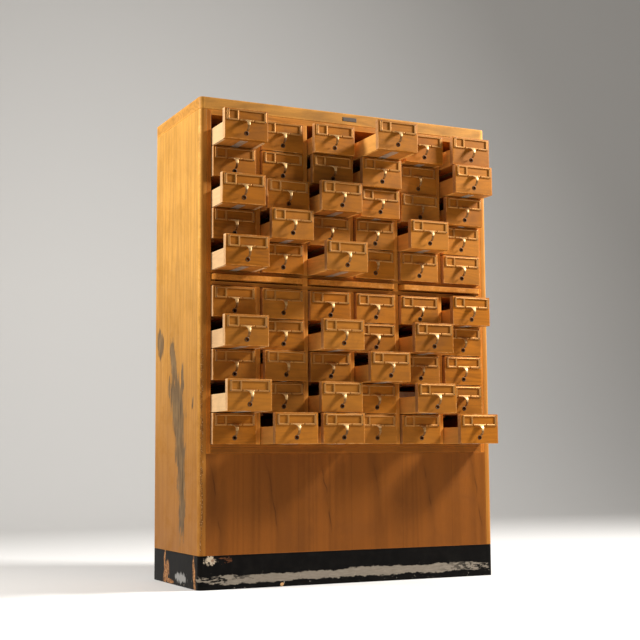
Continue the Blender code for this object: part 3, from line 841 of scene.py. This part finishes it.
def worn_paint(name, colour):
    """Black paint, scrubbed to grey in a ragged band near the floor and chipped to the wood.

    The band's level is the distance from a swaying middle line in halves of its width,
    torn up by a noise and raised at the corners and on the sides, so that it ends there.
    """
    tree, shader = blank(name)
    coords = object_space(tree)
    x, y, z = axes(coords)
    front = between(y * -1.0, 170 * MM, 190 * MM)
    outside = between(x * -1.0, case_half - 3 * MM, case_half - 1 * MM)
    fine_noise = noise(coords, 120.0, 4.0, 0.7)
    torn = noise(stretched(coords, 1.0, 1.0, 2.6), 22.0, 9.0, 0.74, 0.5)
    middle = multiply_add(noise(coords, 3.5), 22 * MM, 20 * MM)
    level = multiply_add(torn - 0.5, 2.6, abs(z - middle) / (13 * MM))
    level = level + between(abs(x), case_half - 70 * MM, case_half - 10 * MM) * 0.30
    level = multiply_add(1.0 - front, 0.9, level)
    ends = between(abs(x), case_half - 260 * MM, case_half - 60 * MM)
    cuts = between(noise(stretched(coords, 0.35, 1.0, 1.0), 85.0, 3.0, 0.6), 0.50, 0.56)
    band = (1.0 - between(level, 0.90, 1.0)) * (1.0 - cuts * ends)
    scrub = noise(stretched(coords, 0.15, 0.15, 1.0), 260.0, 3.0, 0.6)
    grey = blend(scrub, (0.15, 0.120, 0.088), (0.32, 0.272, 0.212))
    paint = blend(between(noise(coords, 30.0, 4.0, 0.6), 0.35, 0.75), colour, (0.006, 0.005, 0.004))
    bare = blend(between(fine_noise, 0.40, 0.62), (0.14, 0.050, 0.014), (0.56, 0.27, 0.10))
    worn = placed("Edge Wear", Vector=coords, Edge=attribute(tree, "edge"), Amount=0.02)
    spots = placed("Grime", Vector=coords, Scale=0.55)["Spots"]
    strips = scuffs(coords, ((100, 70), (7, 42), -0.1, 0.8), ((90, 32), (26, 38), -0.5, 2.1),
                    ((56, 9), (40, 8), 1.2, 1.0), ((-170, 40), (13, 56), 0.1, 1.5))
    flecks = scuffs(coords, ((-48, 26), (52, 15), 0.2, 2.4))
    facing = joined(0.0, x, z)
    chip = scuffs(facing, ((-480, 86), (24, 15), 0.1, 1.5))
    chip = chip * between(noise(coords, 95.0, 2.0, 0.5, 1.5), 0.40, 0.46)
    scratch = scuffs(facing, ((-440, 87), (26, 9), 0.1, 3.0))
    scratch = scratch * between(noise(stretched(coords, 0.2, 1.0, 1.0), 180.0), 0.50, 0.56)
    dent = scuffs(facing, ((-243, 7), (9, 6), 0.3, 0.6))
    shade = paint
    for mask, under in ((band, grey), (worn["Worn"], bare),
                        (spots * between(z, 60 * MM, 8 * MM) * 0.9, (0.45, 0.38, 0.30)),
                        (strips * outside, bare), (flecks * outside, (0.30, 0.29, 0.27)),
                        (chip * front, (0.52, 0.42, 0.30)), (scratch * front * 0.7, (0.16, 0.055, 0.02)),
                        (dent * front, (0.60, 0.34, 0.15))):
        shade = blend(mask, shade, under)
    surface(shader, shade, band * 0.28 + 0.42, fine_noise - band, 0.35, 0.5 * MM, Specular_IOR_Level=0.06)


def aged_metal(name, colour, rough, tarnish, metallic, rubbed=None, rub=0.4):
    """Aged sheet metal, browned in patches and spots and rubbed bright on its edges."""
    tree, shader = blank(name)
    coords = object_space(tree)
    grime = placed("Grime", Vector=coords, Scale=3.0)
    worn = placed("Edge Wear", Vector=coords, Edge=attribute(tree, "edge"), Amount=0.0)
    shade = blend(grime["Patches"] * 0.7, colour, tarnish)
    shade = blend(grime["Spots"] * 0.5, shade, tinted(tarnish, 0.5))
    shade = blend(worn["Worn"] * rub, shade, rubbed or tinted(colour, 1.3))
    dull = multiply_add(grime["Patches"], 0.22, rough, clamp=True)
    surface(shader, shade, dull, noise(coords, 700.0), 0.08, 0.1 * MM, Metallic=metallic,
            Specular_IOR_Level=0.38)


def paper(name, colour):
    """Plain matt paper for the floor and the backdrop."""
    shader = blank(name)[1]
    feed(shader.inputs["Base Color"], colour)
    feed(shader.inputs["Roughness"], 0.7)


# ---- Operators


class CATALOG_OT_finishes(Operator):
    """Make the shared node groups and every finish"""

    bl_idname = "catalog.finishes"
    bl_label = "Finishes"

    def execute(self, context):
        grain_group()
        wear_group()
        grime_group()
        scuff_group()
        c = props("colours")
        side_wood("golden_side", c.golden)
        wood("top_wood", 'X', tinted(blended(c.amber, c.golden, 0.65), 0.92), 0.46, figure=0.8, rings=0.34,
             fibres=0.35, wear=0.34)
        wood("amber_board", 'X', c.amber, 0.38, figure=0.8, rings=0.32, fibres=0.28, wear=0.34, tones=0.2,
             dirt=0.25)
        # Lower rails: umber darkened and heavily grimed, partly grime and partly a painted shadow cast by the
        # drawers above
        wood("shaded_rail", 'X', tinted(c.umber, 0.66), 0.42, figure=0.9, rings=0.34, fibres=0.35, wear=0.34,
             tones=0.3, dirt=0.5)
        wood("umber_upright", 'Z', tinted(c.umber, 1.15), 0.42, figure=0.9, fibres=0.35, wear=0.38, tones=0.45,
             dirt=0.4)
        # Partitions: umber lightened towards golden, a painted light where the lamp from the left falls on
        # them; the end boards keep plain umber
        wood("golden_upright", 'Z', tinted(blended(c.umber, c.golden, 0.35), 1.38), 0.42, figure=0.9,
             fibres=0.35, wear=0.38, tones=0.4)
        wood("brown_front", 'X', c.brown, 0.42, light=1.28, figure=1.2, rings=0.45, fibres=0.45, wear=0.52,
             tones=0.55, dirt=0.4, other=tinted(blended(c.golden, c.amber, 0.45), 0.94))
        wood("shelf_wood", 'X', blended(c.brown, c.amber, 0.6), 0.42, figure=0.8, rings=0.4, fibres=0.4,
             wear=0.45, tones=0.3, dirt=0.4)
        # Front flanks: the front wood blended towards pale, a painted-lit copy for the left column and a
        # painted-shade copy for the others
        for name, share in (("pale_edge", 0.75), ("brown_edge", 0.35)):
            wood(name, 'X', blended(c.brown, c.pale, share), 0.5, figure=1.2, fibres=0.35, tones=0.3, dirt=0.4)
        # Trays: one wood, as a painted-lit copy for the left column and a painted-shade copy for the others
        wood("pale_tray", 'Y', c.pale, 0.55, rings=0.16, fibres=0.22, wear=0.2, tones=0.3, dirt=0.28)
        wood("honey_tray", 'Y', c.honey, 0.5, rings=0.2, fibres=0.25, wear=0.2, tones=0.35)
        wood("inside_wood", 'Y', c.dark, 0.6, fibres=0.4, wear=0.25, tones=0.3, dirt=0.5)
        wood("tray_floor", 'Y', blended(c.umber, c.honey, 0.25), 0.55, rings=0.25, fibres=0.35, wear=0.2,
             tones=0.4, dirt=0.5)
        wood("back_board", 'Z', blended(c.dark, c.umber, 0.45), 0.6, figure=0.5, stretch=0.3, rings=0.35,
             fibres=0.4, wear=0.25, dirt=0.45)
        veneer("red_veneer", c.red)
        worn_paint("black_paint", c.paint)
        aged_metal("aged_brass", c.brass, 0.36, (0.25, 0.112, 0.030), 0.5, c.rubbed, 0.5)
        # Finger pulls: darkened brass rubbed bright by the edge value, which on a tongue also paints its light
        # and shade
        aged_metal("rubbed_brass", tinted(c.brass, 0.5), 0.42, (0.10, 0.045, 0.016), 0.5, c.rubbed, 0.95)
        aged_metal("brown_metal", (0.10, 0.05, 0.02), 0.6, (0.05, 0.025, 0.012), 0.5)
        aged_metal("pale_steel", (0.50, 0.44, 0.36), 0.5, (0.26, 0.18, 0.11), 0.75)
        # Follower plate: pale zinc, pushed paler still as painted light so that it looks lit inside its shaded
        # drawer
        aged_metal("zinc_plate", (0.88, 0.86, 0.81), 0.5, (0.60, 0.55, 0.47), 0.1)
        aged_metal("dark_metal", (0.09, 0.07, 0.055), 0.45, (0.05, 0.035, 0.025), 0.8)
        paper("studio_paper", c.floor)
        return {'FINISHED'}


class CATALOG_OT_case(Operator):
    """Build the two sides, the top board and the base panel, and finish the back and the bottom"""

    bl_idname = "catalog.case"
    bl_label = "Case"

    def execute(self, context):
        for name, front_corner, plank in (("left_side", 2, 0.21), ("right_side", 3, 0.41)):
            corners = [side_round] * 4
            corners[front_corner] = corner_radius
            board = slab(*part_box(name), side_round, corners=corners, fade=side_fade, steps=corner_steps,
                         plank=plank)
            piece(name + "_board", [board], ["golden_side"], "cabinet", "case_wood", (name,))
        corners = [side_round, side_round, corner_radius, corner_radius]
        top = slab(top_low, top_high, top_round, corners=corners, fade=top_fade, steps=corner_steps, plank=0.62)
        piece("top_board_solid", [top], ["top_wood"], "cabinet", "case_wood", ("top_board",))
        for name, kind in (("back_panel", "back_board"), ("bottom_board", "inside_wood")):
            for held in frame["nodes"][name].material_slots:
                held.link = 'OBJECT'
                held.material = bpy.data.materials[kind]
        panel = slab(panel_low, panel_high, props("sizes").board_round, axis=1, plank=0.2)
        piece("base_panel_veneered", [panel], ["red_veneer"], "cabinet", "panel_veneer", ("base_front_panel",))
        return {'FINISHED'}


class CATALOG_OT_nameplate(Operator):
    """Build the small bare plate on the top board and its two pins"""

    bl_idname = "catalog.nameplate"
    bl_label = "Nameplate"

    def execute(self, context):
        (half_wide, half_high), front = plate_half, face_y - plate_thick
        plate = slab((-half_wide, front, plate_height - half_high),
                     (half_wide, face_y + plate_sunk, plate_height + half_high), plate_round, axis=1,
                     fade=plate_fade)
        pins = [lathe(pin_head, x, front, plate_height, 10, wrap=False) for x in (-plate_pin_x, plate_pin_x)]
        piece("nameplate", [plate, *pins], ["dark_metal"], "cabinet", "holder_brass")
        return {'FINISHED'}


class CATALOG_OT_plinth(Operator):
    """Build the painted plinth: a frame of boards and a cross member"""

    bl_idname = "catalog.plinth"
    bl_label = "Plinth"

    def execute(self, context):
        low, high = np.array(plinth_low), np.array(plinth_high)
        middle, half = (low + high)[:2] / 2, (high - low)[:2] / 2
        shape = outline(half, [plinth_edge, plinth_edge, corner_radius, corner_radius], plinth_fade, 6)
        tall, inside = high[2] - low[2], plinth_wall - cross_sunk
        near = [*quarter_round(plinth_round), (0, plinth_round + plinth_rise)]
        path = [*both_ends(near, tall), (plinth_wall, tall), (plinth_wall, 0)]
        rings = stacked(shape, path) + (*middle, low[2])
        edge = np.ones(rings.shape[:2])
        edge[3:5] = np.where(shape["plain"], 0.0, 1.0)
        edge[-2:] = 0
        boards = loft(rings, edge, wrap=True)
        cross = slab((-cross_half, low[1] + inside, low[2]), (cross_half, high[1] - inside, high[2]),
                     plinth_round)
        piece("plinth_boards", [boards, cross], ["black_paint"], "cabinet", "plinth_paint", ("plinth",))
        return {'FINISHED'}


def bank_board(xs, zs, axis, slot, plank):
    """Board as deep as a bank, between two places in X and two heights."""
    radius = props("sizes").board_round
    return slab((xs[0], face_y, zs[0]), (xs[1], bank_rear, zs[1]), radius, axis=axis, slot=slot, plank=plank)


class CATALOG_OT_banks(Operator):
    """Build the boards of both banks and the runners that carry the trays"""

    bl_idname = "catalog.banks"
    bl_label = "Banks"

    def execute(self, context):
        rng = np.random.default_rng(41)
        pitch = cell_width + partition
        inner = bank_half - end_board
        for name, low, high, floor, lid in (("lower", lower_low, lower_high, lower_floor, lower_lid),
                                            ("upper", upper_low, upper_high, upper_floor, upper_lid)):
            lower, rest = name == "lower", ("cabinet", "inner_wood", (name + "_bank",))
            bottom, top, floor_top = low.z, high.z, low.z + floor
            lid_low = floor_top + rows * row_pitch + rack_play
            planks = rng.random(2)
            rails = [((lid_low, lid_low + lid), 0, planks[1])]
            if lower:
                groove = bottom + rail_groove
                # The two lower rails take the painted-shadow rail finish
                rails += [((bottom, groove - rail_groove_half), 1, 0.4),
                          ((groove + rail_groove_half, floor_top), 1, 0.7)]
            else:
                rails.append(((bottom, floor_top), 0, planks[0]))
            rails = [bank_board((-inner, inner), zs, 2, slot, plank) for zs, slot, plank in rails]
            piece(name + "_rails", rails, ["amber_board", "shaded_rail"] if lower else ["amber_board"], *rest)
            uprights = [((-bank_half, -inner), (bottom, top), 0), ((inner, bank_half), (bottom, top), 0)]
            for place in range(1, columns):
                x = (place - columns / 2) * pitch
                xs = (x - partition / 2, x + partition / 2)
                # Partitions take the painted-light upright finish
                uprights.append((xs, (floor_top, lid_low), 1))
                if lower and place % 2 == 0:
                    uprights.append((xs, (lid_low + lid, top), 1))
            uprights = [bank_board(xs, zs, 0, slot, rng.random()) for xs, zs, slot in uprights]
            piece(name + "_uprights", uprights, ["umber_upright", "golden_upright"], *rest)
            strips = []
            for column in range(columns):
                x = (column - (columns - 1) / 2) * pitch
                for level in range(1, rows):
                    z = floor_top + level * row_pitch
                    for near in (x - cell_width / 2, x + cell_width / 2 - runner_reach):
                        strips.append(bar((near, face_y + runner_setback, z - runner_height),
                                          (near + runner_reach, bank_rear, z), rng.random()))
            piece(name + "_runners", strips, ["inside_wood"], *rest)
        return {'FINISHED'}


def shelf_board(low, high):
    """Shelf with two rounded corners and a soft groove for the fingers under its front edge.

    The outline of the shelf in Y and Z is carried along X. Near an end it steps back along
    a quarter circle, and under the middle its groove points rise and fall by a smooth step.
    """
    soft, deep, tall = shelf_round, high[1] - low[1], high[2] - low[2]
    nose = both_ends(quarter_round(soft, 3), tall)
    rear = [(grip_reach, tall), (deep - soft, tall), (deep, tall - soft), (deep, soft), (deep - soft, 0)]
    groove = np.outer([grip_reach, *grip_ys], (1, 0))
    line = np.concatenate([nose, rear, groove])
    ends, back = quarter_round(shelf_corner, 6)[::-1].T
    middle = (low[0] + high[0]) / 2
    across = middle + np.linspace(-grip_half, grip_half, 25)
    xs = np.concatenate([low[0] + ends, across, high[0] - ends[::-1]])
    back = np.concatenate([back, np.zeros(len(across)), back[::-1]])
    rise = np.clip((grip_half - np.abs(xs - middle)) / grip_ramp, 0, 1)
    rise = rise * rise * (3 - 2 * rise)
    y = line[:, 0] + back[:, None] * np.clip(1 - line[:, 0] / grip_reach, 0, 1)
    z = np.tile(line[:, 1], (len(xs), 1))
    z[:, [-2, -3]] += grip_deep * rise[:, None]
    for end in (0, -1):
        y[end] = np.clip(y[end], None, deep - soft)
        z[end] = np.clip(z[end], soft, tall - soft)
    rings = np.stack([np.broadcast_to(xs[:, None], y.shape), low[1] + y, low[2] + z], axis=-1)
    return rings, (np.arange(len(line)) < len(nose)).astype(float)


class CATALOG_OT_shelves(Operator):
    """Build the reference shelves, each on its two skids"""

    bl_idname = "catalog.shelves"
    bl_label = "Reference shelves"

    def execute(self, context):
        for place in shelves:
            name = "reference_shelf_%d" % place
            low, high = (np.array(v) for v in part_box(name))
            under = low[2] + skid_height
            patches = [loft(*shelf_board((low[0], low[1], under), high), plank=0.17 * place)]
            for end, sign in ((low[0], -1), (high[0], 1)):
                outer = end - sign * skid_inset
                near, far = sorted((outer, outer - sign * skid_width))
                patches.append(slab((near, low[1] + skid_setback, low[2]),
                                    (far, high[1] - skid_inset, under + skid_sunk), skid_round, axis=0,
                                    fade=small_fade, plank=0.4))
            piece("shelf_%d" % place, patches, ["shelf_wood"], name, "case_wood", (name,))
        return {'FINISHED'}


class CATALOG_OT_drawers(Operator):
    """Build the sixty drawers: a pierced front and a tray of four boards"""

    bl_idname = "catalog.drawers"
    bl_label = "Drawers"

    def execute(self, context):
        rng = np.random.default_rng(7)
        radius = props("sizes").board_round
        inner = tray_half - tray_wall
        for (row, column), (x, y, z, body) in drawer_places().items():
            planks = rng.random(5)
            start, back, top = y + front_thickness - tray_sunk, y + tray_end, z + tray_height
            left, right, over_floor, back_top = x - inner, x + inner, z + tray_floor, top - tray_back_low
            boards = (((x - tray_half, start, z), (left, back, top), 0, wall_fade, 1),
                      ((right, start, z), (x + tray_half, back, top), 0, wall_fade, 1),
                      ((left, back - tray_wall, over_floor), (right, back, back_top), 1, board_fade, 1),
                      ((left, start, z + tray_floor_rise), (right, back, over_floor), 2, board_fade, 2))
            patches = [pierced_front(x, y, z, planks[0], 3)]
            for (low, high, axis, fade, slot), plank in zip(boards, planks[1:]):
                patches.append(slab(low, high, radius, axis=axis, fade=fade, steps=1, slot=slot, plank=plank))
            bank = "upper_bank" if row <= rows else "lower_bank"
            # Left column: painted-lit tray and front flank; other columns: painted-shade copies of them
            tray, flank = ("pale_tray", "pale_edge") if column == 1 else ("honey_tray", "brown_edge")
            piece("drawer_%02d_%d" % (row, column), patches, ["brown_front", tray, "tray_floor", flank], body,
                  "drawer_wood", (bank if body == "cabinet" else body,))
        return {'FINISHED'}


class CATALOG_OT_holders(Operator):
    """Build the label holders with their finger pulls, screws and eyelets, and the strips under the trays"""

    bl_idname = "catalog.holders"
    bl_label = "Label holders"

    def execute(self, context):
        strip_half = props("sizes").strip_width / 2
        near, far = windows_x[1]
        lines_x = (-holder_half, *windows_x[0], near, slit_width / 2 - slit_x, slit_x - slit_width / 2,
                   slit_x + slit_width / 2, far, holder_half)
        # Cells that stay open: the two windows, then the slits beside the pull
        gaps = [(1, 1), (3, 1), (4, 1), (5, 1), (6, 1), (3, 0), (5, 0)]
        lip, inner = 0.5 * MM, hole_radius - 0.5 * MM
        ring = [(hole_radius, eyelet_deep), (hole_radius, -lip), (hole_radius + lip, -1.0 * MM),
                (eyelet_half - lip, -0.6 * MM), (eyelet_half, 0.1 * MM), (inner, 0.1 * MM),
                (inner, eyelet_deep)]
        metals = ["rubbed_brass", "dark_metal", "pale_steel", "brown_metal"]
        for (row, column), (x, y, z, body) in drawer_places().items():
            apart = (row, column) == follower_drawer
            front = y - (follower_gap if apart else 0.0) - holder_thickness
            zs = [z + v for v in (holder_low, window_low, window_high, holder_high)]
            patches = [tartan([x + v for v in lines_x], zs, front, y + holder_sunk, gaps)]
            piece("label_holder_%02d_%d" % (row, column), patches, ["aged_brass"], body, "holder_brass",
                  ("label_holder",) if apart else (), bevel=holder_round)
            tongue = pull_tongue(x, front + holder_thickness / 2, z + (holder_low + window_low) / 2)
            eyelet = lathe(ring, x, y, z + hole_height, 28, slot=3)
            screws = [lathe(screw_head, x + off, front, z + height, 10, slot=1, wrap=False)
                      for off in (-screw_x, screw_x) for height in screw_heights]
            strip = slab((x - strip_half, y + front_thickness + strip_start, z - strip_half_thick),
                         (x + strip_half, y + tray_end - strip_stop, z + strip_half_thick), strip_round,
                         fade=small_fade, steps=1, slot=2)
            piece("finger_pull_%02d_%d" % (row, column), [tongue, eyelet, *screws, strip], metals, body,
                  "holder_brass")
        return {'FINISHED'}


class CATALOG_OT_follower(Operator):
    """Build the bent card follower in the one open drawer that shows it"""

    bl_idname = "catalog.follower"
    bl_label = "Card follower"

    def execute(self, context):
        low, high = (np.array(v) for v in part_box("card_follower"))
        y, z = low[1:] + follower_thick / 2
        heel = quarter_round(follower_bend, 6) + (y, z)
        tip = (y + (high[2] - low[2]) * follower_lean, high[2] - follower_round)
        plate = swept_plate([(low[1] + follower_foot, z), *heel, tip], follower_thick, low[0], high[0])
        piece("follower_plate", [plate], ["zinc_plate"], "card_follower", "follower_metal", ("card_follower",),
              bevel=follower_round)
        return {'FINISHED'}


class CATALOG_OT_stage(Operator):
    """Set the floor, the lamps and the camera"""

    bl_idname = "catalog.stage"
    bl_label = "Stage"

    def execute(self, context):
        scene = context.scene
        scene.view_settings.view_transform = 'Standard'
        wall = wall_start + wall_bend
        bend = quarter_round(wall_bend, 9) * (-1, 1) + (wall, 0)
        line = np.concatenate([[(-floor_reach, 0)], bend, [(wall, wall_top)]])
        points = np.concatenate([np.insert(line, 0, x, axis=1) for x in (-floor_reach, floor_reach)])
        index, count = np.arange(len(line) - 1), len(line)
        faces = np.column_stack([index, index + count, index + count + 1, index + 1])
        mesh = bpy.data.meshes.new("studio_floor")
        mesh.from_pydata(points.tolist(), [], faces.tolist())
        mesh.polygons.foreach_set("use_smooth", np.ones(len(faces), bool))
        mesh.materials.append(bpy.data.materials["studio_paper"])
        floor = bpy.data.objects.new("studio_floor", mesh)
        scene.collection.objects.link(floor)
        for name, place, aim, size, power in LAMPS:
            lamp = bpy.data.lights.new(name, 'AREA')
            lamp.energy, lamp.size = power, size
            obj = bpy.data.objects.new(name, lamp)
            scene.collection.objects.link(obj)
            way = np.array(aim) - np.array(place)
            obj.location = place
            dip, turned = math.atan2(math.hypot(way[0], way[1]), -way[2]), math.atan2(-way[0], way[1])
            obj.rotation_euler = (dip, 0.0, turned)
        scene.world = bpy.data.worlds.new("studio")
        scene.world.use_nodes = True
        sky = scene.world.node_tree.nodes["Background"].inputs
        feed(sky["Color"], sky_colour)
        feed(sky["Strength"], sky_strength)
        camera = bpy.data.cameras.new("camera")
        camera.sensor_width, camera.lens = camera_sensor, camera_lens
        camera.clip_start, camera.clip_end = camera_clip
        eye = bpy.data.objects.new("camera", camera)
        scene.collection.objects.link(eye)
        eye.location = camera_place
        eye.rotation_mode = 'QUATERNION'
        turned = Euler((math.pi / 2 + camera_pitch, 0.0, camera_yaw), 'XYZ').to_quaternion()
        eye.rotation_quaternion = turned @ Quaternion((0.0, 0.0, 1.0), camera_roll)
        scene.camera = eye
        return {'FINISHED'}


class CATALOG_PT_panel(Panel):
    """Panel that lists the settings and the pieces"""

    bl_idname = "CATALOG_PT_panel"
    bl_label = "Card Catalog Cabinet"
    bl_space_type = 'VIEW_3D'
    bl_region_type = 'UI'
    bl_category = "Catalog"

    def draw(self, context):
        layout = self.layout
        for group in ("sizes", "colours"):
            values = props(group)
            for key in values.bl_rna.properties.keys():
                if key not in ("rna_type", "name"):
                    layout.prop(values, key)
        for operator in OPERATORS:
            layout.operator(operator.bl_idname)


OPERATORS = (CATALOG_OT_finishes, CATALOG_OT_case, CATALOG_OT_nameplate, CATALOG_OT_plinth, CATALOG_OT_banks,
             CATALOG_OT_shelves, CATALOG_OT_drawers, CATALOG_OT_holders, CATALOG_OT_follower, CATALOG_OT_stage)
CLASSES = (CATALOG_PG_sizes, CATALOG_PG_colours, *OPERATORS, CATALOG_PT_panel)


def register():
    """Register the classes and hang the settings on the scene."""
    for cls in CLASSES:
        bpy.utils.register_class(cls)
    bpy.types.Scene.catalog_sizes = PointerProperty(type=CATALOG_PG_sizes)
    bpy.types.Scene.catalog_colours = PointerProperty(type=CATALOG_PG_colours)


def unregister():
    """Take the settings and the classes away again."""
    del bpy.types.Scene.catalog_colours
    del bpy.types.Scene.catalog_sizes
    for cls in reversed(CLASSES):
        bpy.utils.unregister_class(cls)


def main():
    register()
    for operator in OPERATORS:
        family, name = operator.bl_idname.split(".")
        getattr(getattr(bpy.ops, family), name)()


if __name__ == "__main__":
    main()
